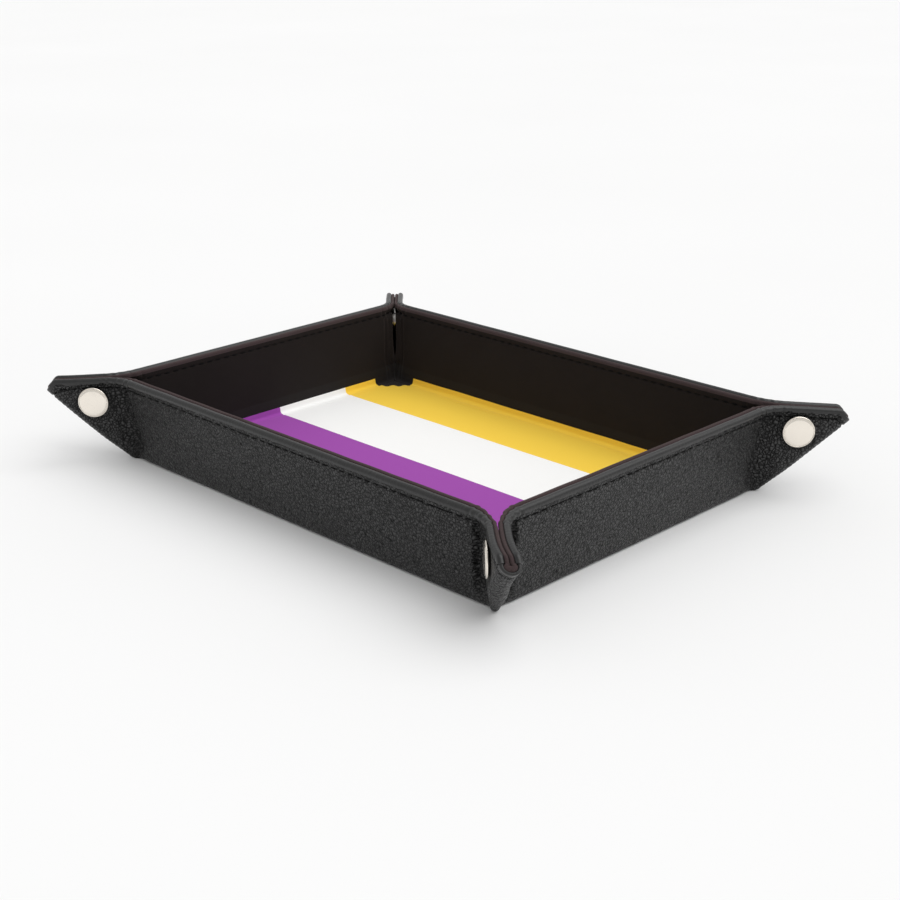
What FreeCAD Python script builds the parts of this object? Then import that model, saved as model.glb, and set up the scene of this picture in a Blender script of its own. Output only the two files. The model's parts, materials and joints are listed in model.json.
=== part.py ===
"""Folding dice tray: a board-stiffened leather tray whose four walls stand up and whose
corner flaps are pressed together by snap fasteners.  All lengths are in millimetres.

Frame: X along the long side, Y along the short side, Z up, origin under the middle of the
floor.  The tray is modelled with its walls up and its snaps closed.
"""
import FreeCAD, Part
import math
import os
import Sketcher
from FreeCAD import Placement, Rotation, Vector

DOCUMENT_NAME = "DiceTray"
SHEET_NAME = "Sizes"

# Driving dimensions.  Every other size below is worked out from these.
DRIVING = {
    "tray_length": 195.0,        # between the outer fold edges of the short walls
    "tray_width": 141.0,         # between the outer fold edges of the long walls
    "wall_slant": 34.2,          # from the outer fold edge up the wall to its rim
    "wall_lean": 8.7,            # degrees that each wall leans outwards from upright
    "cover_thick": 1.2,          # leather, with the glue under it
    "board_thick": 2.4,
    "lining_thick": 1.0,
    "floor_board_thick": 0.4,    # card, so that the floor lies flat
    "floor_lining_thick": 0.4,
    "fold_length": 4.1,          # soft leather on each side of a fold edge, with no board
    "fold_radius": 3.6,          # outside radius of the leather round a fold edge
    "rim_turn": 1.2,             # leather turned in over the board along the rim
    "board_setback": 5.0,        # from the wall's end crease back to its board
    "lining_setback": 2.0,       # from the wall's end crease back to its lining
    "crease_gap": 0.15,          # half of the gap left along a crease
    "flap_depth": 3.3,           # a closed flap's outer face, from the plane it closes on
    "flap_lining_thick": 0.8,
    "flap_toe": 2.5,             # height at which a flap's solid starts above its crease foot
    "flap_hem": 1.8,             # width of a flap's turned hem
    "closing_gap": 0.1,          # from a closed flap's hem to the plane it closes on
    "spine_start": 5.0,          # along the folded edge, from the crease foot
    "spine_radius": 2.2,         # outside radius of each flap's half of the folded edge
    "corner_clip": 8.5,          # leg cut off the tray sheet's corner
    "snap_along": 15.6,          # snap centre from the crease foot, along the wall
    "snap_up": 25.3,             # snap centre from the crease foot, up the slant
    "snap_cap_radius": 6.0,
    "snap_cap_edge": 0.5,
    "snap_cap_dome": 1.6,
    "post_radius": 1.5,
    "post_length": 2.35,
    "post_clearance": 0.1,
    "socket_radius": 5.0,
    "socket_height": 2.0,
    "socket_floor": 0.4,
    "socket_bore_radius": 3.2,
    "spring_radius": 2.75,
    "spring_wire_radius": 0.25,
    "spring_level": 3.65,        # from the flap's outer face
    "stud_flange_radius": 4.75,
    "stud_flange_thick": 0.5,
    "stud_neck_radius": 2.2,
    "stud_neck_height": 0.8,
    "stud_head_radius": 2.7,
    "stud_head_height": 0.5,
    "stud_bore_depth": 0.9,
    "stitch_pitch": 4.2,
    "stitch_length": 3.0,
    "stitch_width": 0.55,
    "stitch_proud": 0.25,
    "stitch_from_rim": 3.5,
    "stitch_end_margin": 6.0,
}

# The direction in which each wall faces.
WALLS = {
    "front": Vector(0, -1, 0),
    "right": Vector(1, 0, 0),
    "back": Vector(0, 1, 0),
    "left": Vector(-1, 0, 0),
}
LONG_WALLS = ("front", "back")

# The two ends of each wall: the corner name, and the end's sign along the wall's own X.
WALL_ENDS = {
    "front": {"left": 1, "right": -1},
    "right": {"front": 1, "back": -1},
    "back": {"right": 1, "left": -1},
    "left": {"back": 1, "front": -1},
}


class Size:
    """A length or number with the expression that binds it to the sheet."""

    def __init__(self, value, text):
        self.value = float(value)
        self.text = text

    def combine(self, other, sign, result):
        other = as_size(other)
        return Size(result(self.value, other.value), f"({self.text} {sign} {other.text})")

    def __add__(self, other):
        return self.combine(other, "+", lambda a, b: a + b)

    def __sub__(self, other):
        return self.combine(other, "-", lambda a, b: a - b)

    def __mul__(self, other):
        return self.combine(other, "*", lambda a, b: a * b)

    def __truediv__(self, other):
        return self.combine(other, "/", lambda a, b: a / b)

    def __neg__(self):
        return self * -1


def as_size(number):
    return number if isinstance(number, Size) else Size(number, repr(float(number)))


def sine(angle):
    return Size(math.sin(math.radians(angle.value)), f"sin({angle.text} * 1deg)")


def cosine(angle):
    return Size(math.cos(math.radians(angle.value)), f"cos({angle.text} * 1deg)")


def tangent(angle):
    return Size(math.tan(math.radians(angle.value)), f"tan({angle.text} * 1deg)")


def make_sheet(document):
    """Writes the driving dimensions to a sheet and returns them as bound sizes."""
    sheet = document.addObject("Spreadsheet::Sheet", SHEET_NAME)
    sizes = {}
    for row, (name, value) in enumerate(DRIVING.items(), start=1):
        sheet.set(f"A{row}", name)
        sheet.set(f"B{row}", str(value))
        sheet.setAlias(f"B{row}", name)
        sizes[name] = Size(value, f"{SHEET_NAME}.{name}")
    document.recompute()
    return sizes


def new_body(document, label, placement):
    body = document.addObject("PartDesign::Body", label)
    body.Label = label
    body.Placement = placement
    return body


def origin_plane(body, role):
    for feature in body.Origin.OriginFeatures:
        if feature.Role == role:
            return feature
    raise RuntimeError(f"{body.Label} has no {role}")


def new_sketch(body, role, level=None, turn=0.0, shift=(0, 0)):
    """A sketch on an origin plane of its body, raised by level along the plane's normal,
    turned about its own Y axis and shifted within the unturned plane's X and normal."""
    sketch = body.newObject("Sketcher::SketchObject", f"{body.Label}_outline")
    sketch.AttachmentSupport = [(origin_plane(body, role), "")]
    sketch.MapMode = "FlatFace"
    sketch.AttachmentOffset = Placement(Vector(), Rotation(Vector(0, 1, 0), turn))
    if level is not None:
        sketch.setExpression("AttachmentOffset.Base.z", level.text)
    else:
        sketch.setExpression("AttachmentOffset.Base.x", as_size(shift[0]).text)
        sketch.setExpression("AttachmentOffset.Base.z", as_size(shift[1]).text)
    return sketch


def bind_point(sketch, geometry, position, point):
    """Ties one point of the sketch's geometry to its two coordinates."""
    for kind, coordinate in zip(("DistanceX", "DistanceY"), point):
        index = sketch.addConstraint(
            Sketcher.Constraint(kind, -1, 1, geometry, position, coordinate.value))
        sketch.setExpression(f"Constraints[{index}]", coordinate.text)


def draw_outline(sketch, points, centres=None):
    """A closed outline through the points.  centres names the sides that are arcs: side n
    runs from point n to the next one, round the centre given for it, the shorter way."""
    centres = centres or {}
    points = [(as_size(x), as_size(y)) for x, y in points]
    places = [Vector(x.value, y.value, 0) for x, y in points]
    count = len(points)
    ends = []
    for side in range(count):
        start, end = places[side], places[(side + 1) % count]
        if side not in centres:
            sketch.addGeometry(Part.LineSegment(start, end), False)
            ends.append((1, 2))
            continue
        centre = Vector(as_size(centres[side][0]).value, as_size(centres[side][1]).value, 0)
        middle = (start + end) / 2 - centre
        middle = centre + middle.normalize() * (start - centre).Length
        arc = sketch.addGeometry(Part.Arc(start, middle, end), False)
        swapped = sketch.getPoint(arc, 1).distanceToPoint(start) > 1e-6
        ends.append((2, 1) if swapped else (1, 2))
    for side in range(count):
        follower = (side + 1) % count
        sketch.addConstraint(Sketcher.Constraint(
            "Coincident", side, ends[side][1], follower, ends[follower][0]))
        bind_point(sketch, side, ends[side][0], points[side])
    for side, (centre_x, _) in centres.items():
        centre_x = as_size(centre_x)
        index = sketch.addConstraint(
            Sketcher.Constraint("DistanceX", -1, 1, side, 3, centre_x.value))
        sketch.setExpression(f"Constraints[{index}]", centre_x.text)


def pad(body, sketch, length, reverse=False):
    feature = body.newObject("PartDesign::Pad", f"{body.Label}_pad")
    feature.Profile = sketch
    feature.Reversed = reverse
    feature.setExpression("Length", length.text)
    return feature


def add_layer(body, outline, level, thick):
    """A flat layer of the given outline, from level up to level + thick."""
    sketch = new_sketch(body, "XY_Plane", as_size(level))
    draw_outline(sketch, outline)
    return pad(body, sketch, as_size(thick))


def cut_hole(body, centre, radius):
    """A round hole right through a flat piece."""
    sketch = new_sketch(body, "XY_Plane", as_size(0))
    place = Vector(centre[0].value, centre[1].value, 0)
    sketch.addGeometry(Part.Circle(place, Vector(0, 0, 1), radius.value), False)
    bind_point(sketch, 0, 3, centre)
    index = sketch.addConstraint(Sketcher.Constraint("Radius", 0, radius.value))
    sketch.setExpression(f"Constraints[{index}]", radius.text)
    hole = body.newObject("PartDesign::Pocket", f"{body.Label}_hole")
    hole.Profile = sketch
    hole.Type = "ThroughAll"
    hole.Reversed = True
    return hole


def turn_profile(document, label, placement, points, centres=None):
    """A body turned about its own Z axis from points of (radius, height)."""
    body = new_body(document, label, placement)
    sketch = new_sketch(body, "XZ_Plane", as_size(0))
    draw_outline(sketch, points, centres)
    turned = body.newObject("PartDesign::Revolution", f"{label}_turned")
    turned.Profile = sketch
    turned.ReferenceAxis = (sketch, ["V_Axis"])
    turned.Angle = 360.0
    return body


class Tray:
    """Works out the places that several pieces share."""

    def __init__(self, sizes):
        self.sizes = sizes
        lean = sizes["wall_lean"]
        self.spread = sine(lean)
        self.wall_stack = sizes["cover_thick"] + sizes["board_thick"] + sizes["lining_thick"]
        self.crease_foot = sizes["flap_depth"] * math.sqrt(2)
        self.clip_line = sizes["wall_slant"] * 2 - sizes["corner_clip"] + self.crease_foot

    def half_length(self, wall):
        key = "tray_length" if wall in LONG_WALLS else "tray_width"
        return self.sizes[key] / 2

    def reach(self, wall):
        """From the middle of the tray out to the wall's fold edge."""
        key = "tray_width" if wall in LONG_WALLS else "tray_length"
        return self.sizes[key] / 2

    def fold_placement(self, wall):
        """At the middle of the fold edge: X along the fold, Y outwards, Z up."""
        outward = WALLS[wall]
        along = outward.cross(Vector(0, 0, 1))
        turn = Rotation(along, outward, Vector(0, 0, 1), "XYZ")
        return Placement(outward * self.reach(wall).value, turn)

    def wall_placement(self, wall):
        """At the middle of the fold edge: X along the fold, Y up the wall's outer face, Z
        into the tray."""
        lean = math.radians(self.sizes["wall_lean"].value)
        outward = WALLS[wall]
        up_slant = outward * math.sin(lean) + Vector(0, 0, math.cos(lean))
        inward = outward * -math.cos(lean) + Vector(0, 0, math.sin(lean))
        turn = Rotation(up_slant.cross(inward), up_slant, inward, "XYZ")
        return Placement(outward * self.reach(wall).value, turn)

    def flap_placement(self, wall, sign):
        """The wall's frame moved to the crease foot and folded back about the crease."""
        wall_place = self.wall_placement(wall)
        foot = Vector(sign * (self.half_length(wall) - self.crease_foot).value, 0, 0)
        crease = Vector(sign * self.spread.value, 1, 0)
        crease = wall_place.Rotation.multVec(crease)
        wall_normal = wall_place.Rotation.multVec(Vector(0, 0, 1))
        along = wall_place.Rotation.multVec(Vector(sign, 0, 0))
        closed_normal = (along - WALLS[wall]).normalize()
        fold = math.degrees(wall_normal.getAngle(closed_normal))
        turn = Rotation(crease, sign * fold).multiply(wall_place.Rotation)
        return Placement(wall_place.multVec(foot), turn)

    def wall_outline(self, wall, low, high, setback):
        """A trapezoid that widens up the slant with the wall's end creases."""
        foot = self.half_length(wall) - self.crease_foot - setback
        low_half = foot + low * self.spread
        high_half = foot + high * self.spread
        return [(-low_half, low), (low_half, low), (high_half, high), (-high_half, high)]


def make_base(document, tray):
    """The floor: leather underside, board and lining, each a plain rectangle."""
    sizes = tray.sizes
    cover, board = sizes["cover_thick"], sizes["floor_board_thick"]
    layers = (
        ("base_cover", as_size(0), cover),
        ("base_board", cover, board),
        ("floor_lining", cover + board, sizes["floor_lining_thick"]),
    )
    half_x = sizes["tray_length"] / 2 - sizes["fold_length"]
    half_y = sizes["tray_width"] / 2 - sizes["fold_length"]
    outline = [(-half_x, -half_y), (half_x, -half_y), (half_x, half_y), (-half_x, half_y)]
    bodies = []
    for label, level, thick in layers:
        body = new_body(document, label, Placement())
        add_layer(body, outline, level, thick)
        bodies.append(body)
    return bodies


def make_fold_strip(document, tray, wall):
    """The leather that runs round the fold edge, from under the floor to the wall."""
    sizes = tray.sizes
    thick = sizes["cover_thick"]
    radius = sizes["fold_radius"]
    inner = radius - thick
    lean = sizes["wall_lean"]
    tangent_length = radius * tangent((as_size(90) - lean) / 2)
    arc_end = (tangent_length * sine(lean), tangent_length * cosine(lean))
    centre = (-tangent_length, radius)
    run = sizes["fold_length"] - sizes["crease_gap"]
    top = (run * sine(lean), run * cosine(lean))
    inward = (-(thick * cosine(lean)), thick * sine(lean))
    points = [
        (-sizes["fold_length"], 0),
        (-tangent_length, 0),
        arc_end,
        top,
        (top[0] + inward[0], top[1] + inward[1]),
        (centre[0] + inner * cosine(lean), centre[1] - inner * sine(lean)),
        (-tangent_length, thick),
        (-sizes["fold_length"], thick),
    ]
    body = new_body(document, f"{wall}_fold_strip", tray.fold_placement(wall))
    half = tray.half_length(wall) - tray.crease_foot - sizes["crease_gap"] * 2
    sketch = new_sketch(body, "YZ_Plane", -half)
    draw_outline(sketch, points, {1: centre, 5: centre})
    pad(body, sketch, half * 2)
    return body


def make_wall(document, tray, wall):
    """A wall: leather with its rim turned in, board, lining and the rim's stitching."""
    sizes = tray.sizes
    place = tray.wall_placement(wall)
    low, high = sizes["fold_length"], sizes["wall_slant"]
    under_rim = high - sizes["rim_turn"]
    lining_level = sizes["cover_thick"] + sizes["board_thick"]

    cover = new_body(document, f"{wall}_wall_cover", place)
    outline = tray.wall_outline(wall, low, high, sizes["crease_gap"])
    add_layer(cover, outline, 0, sizes["cover_thick"])
    turned = tray.wall_outline(wall, under_rim, high, sizes["crease_gap"])
    add_layer(cover, turned, sizes["cover_thick"], sizes["board_thick"])

    board = new_body(document, f"{wall}_wall_board", place)
    outline = tray.wall_outline(wall, low, under_rim, sizes["board_setback"])
    add_layer(board, outline, sizes["cover_thick"], sizes["board_thick"])

    lining = new_body(document, f"{wall}_wall_lining", place)
    outline = tray.wall_outline(wall, low, high, sizes["lining_setback"])
    add_layer(lining, outline, lining_level, sizes["lining_thick"])
    return [cover, board, lining, make_stitches(document, tray, wall)]


def make_stitches(document, tray, wall):
    """The stitches along the rim, each lying on the leather."""
    sizes = tray.sizes
    body = new_body(document, f"{wall}_wall_stitching", tray.wall_placement(wall))
    half = tray.half_length(wall) - sizes["stitch_end_margin"]
    count = int(half.value * 2 / sizes["stitch_pitch"].value) + 1
    run = sizes["stitch_pitch"] * (count - 1)
    left = -(run / 2) - sizes["stitch_length"] / 2
    top = sizes["wall_slant"] - sizes["stitch_from_rim"]
    outline = [
        (left, top - sizes["stitch_width"]),
        (left + sizes["stitch_length"], top - sizes["stitch_width"]),
        (left + sizes["stitch_length"], top),
        (left, top),
    ]
    sketch = new_sketch(body, "XY_Plane", as_size(0))
    draw_outline(sketch, outline)
    stitch = pad(body, sketch, sizes["stitch_proud"], reverse=True)
    document.recompute()
    row = body.newObject("PartDesign::LinearPattern", f"{body.Label}_row")
    row.Originals = [stitch]
    row.Direction = (sketch, ["H_Axis"])
    row.setExpression("Length", run.text)
    row.Occurrences = count
    body.Tip = row
    return body


def make_flap(document, tray, wall, end, sign):
    """Half of a corner: leather with a turned hem and half of the folded spine, and its
    lining.  Both have the snap post's hole."""
    sizes = tray.sizes
    place = tray.flap_placement(wall, sign)
    name = f"{wall}_wall_{end}_flap"
    spread, clip_line = tray.spread, tray.clip_line
    slant, toe, hem = sizes["wall_slant"], sizes["flap_toe"], sizes["flap_hem"]
    gap = sizes["crease_gap"]
    under_hem = slant - hem
    inner_clip = clip_line - hem * math.sqrt(2)
    snap_centre = (sizes["snap_along"] * sign, sizes["snap_up"])
    hole_radius = sizes["post_radius"] + sizes["post_clearance"]
    thick = sizes["cover_thick"]

    def signed(points):
        return [(x * sign, y) for x, y in points]

    cover = new_body(document, f"{name}_cover", place)
    field = signed([
        (toe * spread + gap, toe),
        (slant * spread + gap, slant),
        (clip_line - slant, slant),
        (clip_line / 2, clip_line / 2),
        (toe, toe),
    ])
    add_layer(cover, field, 0, thick)
    hem_depth = sizes["flap_depth"] - sizes["closing_gap"] - thick
    hem_outline = signed([
        (under_hem * spread + gap, under_hem),
        (slant * spread + gap, slant),
        (clip_line - slant, slant),
        (clip_line / 2, clip_line / 2),
        (inner_clip / 2, inner_clip / 2),
        (inner_clip - under_hem, under_hem),
    ])
    add_layer(cover, hem_outline, thick, hem_depth)
    add_spine(cover, tray, sign)
    cut_hole(cover, snap_centre, hole_radius)

    lining = new_body(document, f"{name}_lining", place)
    field = signed([
        (toe * spread + gap, toe),
        (under_hem * spread + gap, under_hem),
        (inner_clip - under_hem, under_hem),
        (inner_clip / 2, inner_clip / 2),
        (toe, toe),
    ])
    add_layer(lining, field, thick, sizes["flap_lining_thick"])
    cut_hole(lining, snap_centre, hole_radius)
    return [cover, lining]


def add_spine(cover, tray, sign):
    """Half of the folded edge: a quarter round of leather along the flap's long edge."""
    sizes = tray.sizes
    radius = sizes["spine_radius"]
    inner = radius - sizes["cover_thick"]
    start = sizes["spine_start"] / math.sqrt(2)
    turn = -45.0 if sign > 0 else -135.0
    sketch = new_sketch(cover, "XZ_Plane", turn=turn, shift=(start * sign, -start))
    points = [(0, 0), (radius, radius), (inner, radius), (0, sizes["cover_thick"])]
    centre = (as_size(0), radius)
    draw_outline(sketch, points, {0: centre, 2: centre})
    length = tray.clip_line / math.sqrt(2) - sizes["spine_start"]
    pad(cover, sketch, length, reverse=sign > 0)


def snap_placement(tray, wall, sign):
    """At the snap's centre on the flap's outer face, with Z into the flap."""
    place = tray.flap_placement(wall, sign)
    sizes = tray.sizes
    centre = Vector(sign * sizes["snap_along"].value, sizes["snap_up"].value, 0)
    return place.multiply(Placement(centre, Rotation()))


def make_cap(document, tray, label, place):
    """A domed cap with the post that clenches the inner piece through the flap."""
    sizes = tray.sizes
    radius, edge = sizes["snap_cap_radius"], sizes["snap_cap_edge"]
    dome = sizes["snap_cap_dome"]
    rise = dome - edge
    dome_radius = (radius * radius + rise * rise) / (rise * 2)
    points = [
        (0, -dome),
        (radius, -edge),
        (radius, 0),
        (sizes["post_radius"], 0),
        (sizes["post_radius"], sizes["post_length"]),
        (0, sizes["post_length"]),
    ]
    return turn_profile(document, label, place, points, {0: (0, dome_radius - dome)})


def make_socket(document, tray, label, place):
    """A cup that is open towards the stud, with the post's hole in its floor."""
    sizes = tray.sizes
    level = sizes["cover_thick"] + sizes["flap_lining_thick"]
    top = level + sizes["socket_height"]
    floor = level + sizes["socket_floor"]
    hole = sizes["post_radius"] + sizes["post_clearance"] / 2
    points = [
        (hole, level),
        (sizes["socket_radius"], level),
        (sizes["socket_radius"], top),
        (sizes["socket_bore_radius"], top),
        (sizes["socket_bore_radius"], floor),
        (hole, floor),
    ]
    return turn_profile(document, label, place, points)


def make_spring(document, tray, label, place):
    """The wire ring in the socket that grips the stud's neck."""
    sizes = tray.sizes
    ring = document.addObject("Part::Torus", label)
    ring.Label = label
    ring.setExpression("Radius1", sizes["spring_radius"].text)
    ring.setExpression("Radius2", sizes["spring_wire_radius"].text)
    ring.Placement = place.multiply(
        Placement(Vector(0, 0, sizes["spring_level"].value), Rotation()))
    return ring


def make_stud(document, tray, label, place):
    """A flange, a neck and a head, bored for the post."""
    sizes = tray.sizes
    level = sizes["cover_thick"] + sizes["flap_lining_thick"]
    flange = level + sizes["stud_flange_thick"]
    neck = flange + sizes["stud_neck_height"]
    head = neck + sizes["stud_head_height"]
    bevel = sizes["stud_head_height"] / 2
    hole = sizes["post_radius"] + sizes["post_clearance"] / 2
    bore_end = level + sizes["stud_bore_depth"]
    points = [
        (hole, level),
        (sizes["stud_flange_radius"], level),
        (sizes["stud_flange_radius"], flange),
        (sizes["stud_neck_radius"], flange),
        (sizes["stud_neck_radius"], neck),
        (sizes["stud_head_radius"], neck),
        (sizes["stud_head_radius"], head - bevel),
        (sizes["stud_head_radius"] - bevel, head),
        (0, head),
        (0, bore_end),
        (hole, bore_end),
    ]
    return turn_profile(document, label, place, points)


def make_snap(document, tray, wall, end, sign):
    """The half of a corner's snap that sits on this flap: long walls carry the socket half
    and short walls carry the stud half."""
    place = snap_placement(tray, wall, sign)
    if wall in LONG_WALLS:
        corner = f"{wall}_{end}"
        return [
            make_cap(document, tray, f"{corner}_snap_cap", place),
            make_socket(document, tray, f"{corner}_snap_socket", place),
            make_spring(document, tray, f"{corner}_snap_spring", place),
        ]
    corner = f"{end}_{wall}"
    return [
        make_cap(document, tray, f"{corner}_snap_back_cap", place),
        make_stud(document, tray, f"{corner}_snap_stud", place),
    ]


def check(document, pieces):
    """Stops if any object failed, or if any piece has no valid shape."""
    for thing in document.Objects:
        if "Invalid" in thing.State or "Error" in thing.State:
            raise RuntimeError(f"{thing.Label} failed: {thing.State}")
    for piece in pieces:
        if piece.Shape.isNull() or not piece.Shape.isValid():
            raise RuntimeError(f"{piece.Label} has no valid shape")


def main():
    document = FreeCAD.newDocument(DOCUMENT_NAME)
    tray = Tray(make_sheet(document))
    pieces = make_base(document, tray)
    for wall in WALLS:
        pieces.append(make_fold_strip(document, tray, wall))
        pieces += make_wall(document, tray, wall)
        for end, sign in WALL_ENDS[wall].items():
            pieces += make_flap(document, tray, wall, end, sign)
            pieces += make_snap(document, tray, wall, end, sign)
    document.recompute()
    check(document, pieces)
    os.makedirs("parts", exist_ok=True)
    for piece in pieces:
        piece.Shape.exportStep(f"parts/{piece.Label}.step")
        print(f"{piece.Label}: {piece.Shape.Volume:.1f} mm3, {len(piece.Shape.Solids)} solids")


main()
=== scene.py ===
import json
import math

import bpy
import numpy as np
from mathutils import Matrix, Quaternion, Vector


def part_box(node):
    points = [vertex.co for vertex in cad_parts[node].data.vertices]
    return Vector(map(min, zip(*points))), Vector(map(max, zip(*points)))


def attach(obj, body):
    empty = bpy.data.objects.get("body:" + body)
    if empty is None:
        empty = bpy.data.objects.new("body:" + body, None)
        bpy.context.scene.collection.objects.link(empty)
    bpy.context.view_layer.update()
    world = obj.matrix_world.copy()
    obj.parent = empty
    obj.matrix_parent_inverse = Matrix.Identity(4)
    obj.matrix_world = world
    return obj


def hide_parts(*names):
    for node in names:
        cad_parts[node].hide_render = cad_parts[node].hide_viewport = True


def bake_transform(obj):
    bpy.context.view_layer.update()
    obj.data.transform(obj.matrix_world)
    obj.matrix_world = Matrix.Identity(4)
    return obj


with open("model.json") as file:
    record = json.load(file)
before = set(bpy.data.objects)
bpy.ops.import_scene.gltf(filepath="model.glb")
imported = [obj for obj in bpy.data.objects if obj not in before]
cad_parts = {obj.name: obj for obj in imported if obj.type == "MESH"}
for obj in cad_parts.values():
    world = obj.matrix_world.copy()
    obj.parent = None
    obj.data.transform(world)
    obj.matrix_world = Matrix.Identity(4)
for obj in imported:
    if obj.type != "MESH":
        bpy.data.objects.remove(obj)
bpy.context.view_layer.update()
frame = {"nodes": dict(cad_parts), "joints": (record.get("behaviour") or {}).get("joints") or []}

MM = 0.001
ROOT2 = math.sqrt(2)

# The wall and its corner flap, as the CAD has them.
SLANT = 34.2                # from the fold edge up the wall to its rim
LEAN = math.radians(8.7)    # of a standing wall, outwards
STACK = 4.6                 # leather, board and lining together
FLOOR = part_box("floor_lining")[1].z / MM
FLAP_DEPTH = 3.3            # a flap's outer face, from the plane where two flaps meet
CORNER_CLIP = 8.5
FOLD_LENGTH = 4.1           # soft leather on each side of a fold edge
SNAP_ALONG = 15.6
SNAP_UP = 25.3
SNAP_RADIUS = 6.0
STITCH_PITCH = 4.2
STITCH_FROM_EDGE = 3.5

# The soft shapes that the frame's plain solids stand for.
FOLD_RADIUS = 2.2
CREASE_RADIUS = 14.0        # of the bend between wall and flap, at the rim
FOOT_CREASE = 2.5           # the same at the foot
CREASE_NARROWS = 22.0       # height over which the one becomes the other
HEM_STACK = 3.2             # thickness of a flap's rim
SPINE_STACK = 2.6           # thickness of the rim where the corner is folded in half
FLAP_STACK = 2.0            # thickness of a flap inside its rim
SPINE_RADIUS = 3.25         # of the folded edge
LEAST_SPINE = 1.0           # least radius of the folded edge, close to the corner
LEAST_CURL = 0.05           # least radius of a layer inside it
EDGE_STRIP = 1.6            # width of the leather that is turned over the edge
TIP_RADIUS = 2.0
LIP_SHARE = 0.445           # of the thickness that the leather's lip takes up
SHEET_THICK = 0.5
SHARP_ANGLE = math.radians(50)
BOARD_DIP = 2.0             # how far the leather sinks past a board's end
LINING_FOOT = 8.0           # height at which a wall's own lining starts
TOE_REACH = 2.7             # how far the foot of a crease bulges towards the corner
TOE_SPREAD = 14.0           # over which the bulge fades, up the wall and along it
FLOOR_CLEARANCE = 0.05
CLOSING_CLEARANCE = 0.02
STITCH_LENGTH = 3.1
THREAD_RADIUS = 0.38
GROOVE_DEPTH = 0.42         # of the seam, in the leather
LINING_GROOVE_DEPTH = 0.22

# The floor's print.
FLOOR_INSET = 3.0           # from the floor lining's edge, where the walls' lining takes over
STRIPE = 36.8
YELLOW_INK = (0.97, 0.645, 0.060)
WHITE_INK = (0.95, 0.945, 0.93)
PURPLE_INK = (0.335, 0.062, 0.390)
BLACK_INK = (0.0125, 0.0085, 0.0078)
PRINT_CLIMB = 2.65          # how far the print runs up the walls
PRINT_NOTCH = 14.5          # side of the square at each corner that holds the wavy cut
PRINT_CLIP = 20.0           # the distances in from both edges, added, along the cut

# The snap's cap, with heights from the leather's face.
CAP_TOP = 1.62
CAP_SAG = 0.42              # from the dome's middle to the ring inside its edge
CAP_ROLL = 0.42             # radius of the rolled edge
CAP_ROLL_LEVEL = 0.62
CAP_UNDERSIDE = 0.02
POST_RADIUS = 1.5
POST_LENGTH = 2.35

# Tones of the lining where it isn't printed, and lighter ones on the rim's lip: painted sheen for
# the light that the lip catches.
MICROFIBRE = ((0.0030, 0.0021, 0.0018), (0.0100, 0.0072, 0.0064))
LIP_PAINTED_SHEEN = ((0.020, 0.0135, 0.0135), (0.060, 0.041, 0.042))

# The studio.
STUDIO_HALF = 20.0          # metres from the middle to the floor's edge
SKY_STRENGTH = 0.66
SUN_STRENGTH = 1.62
SUN_SPREAD = math.radians(70)
SUN_TURN = (math.radians(-14), math.radians(22), 0)

WALLS = {
    "front": (0, -1, 0),
    "right": (1, 0, 0),
    "back": (0, 1, 0),
    "left": (-1, 0, 0),
}
LONG_WALLS = ("front", "back")
WALL_ENDS = {
    "front": {"left": 1, "right": -1},
    "right": {"front": 1, "back": -1},
    "back": {"right": 1, "left": -1},
    "left": {"back": 1, "front": -1},
}
# How each corner's flaps lean from the diagonal, towards the short wall's side: the slope,
# and the curve past the snap.
SWINGS = {
    "front_right": (0.058, 0.0075),
    "front_left": (0.055, 0.004),
    "back_right": (0.0, 0.0),
    "back_left": (0.02, 0.0),
}
JOINTS = {joint["name"]: joint for joint in frame["joints"]}
UP = np.array((0.0, 0.0, 1.0))
CREASE_SLOPE = math.atan(math.sin(LEAN))
COS_SLOPE, SIN_SLOPE = math.cos(CREASE_SLOPE), math.sin(CREASE_SLOPE)
CLIP_LINE = 2 * SLANT - CORNER_CLIP + FLAP_DEPTH * ROOT2
# From the fold edge in to where the wall's lining meets the floor.
TURN_AT = (STACK - FLOOR * math.sin(LEAN)) / math.cos(LEAN)


def smooth(low, high, value):
    """From 0 at low to 1 at high, with level ends."""
    share = np.clip((value - low) / (high - low), 0, 1)
    return share * share * (3 - 2 * share)


def mix(first, second, share):
    return first + (second - first) * share


# ---------------------------------------------------------------- the bent sheet

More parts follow.
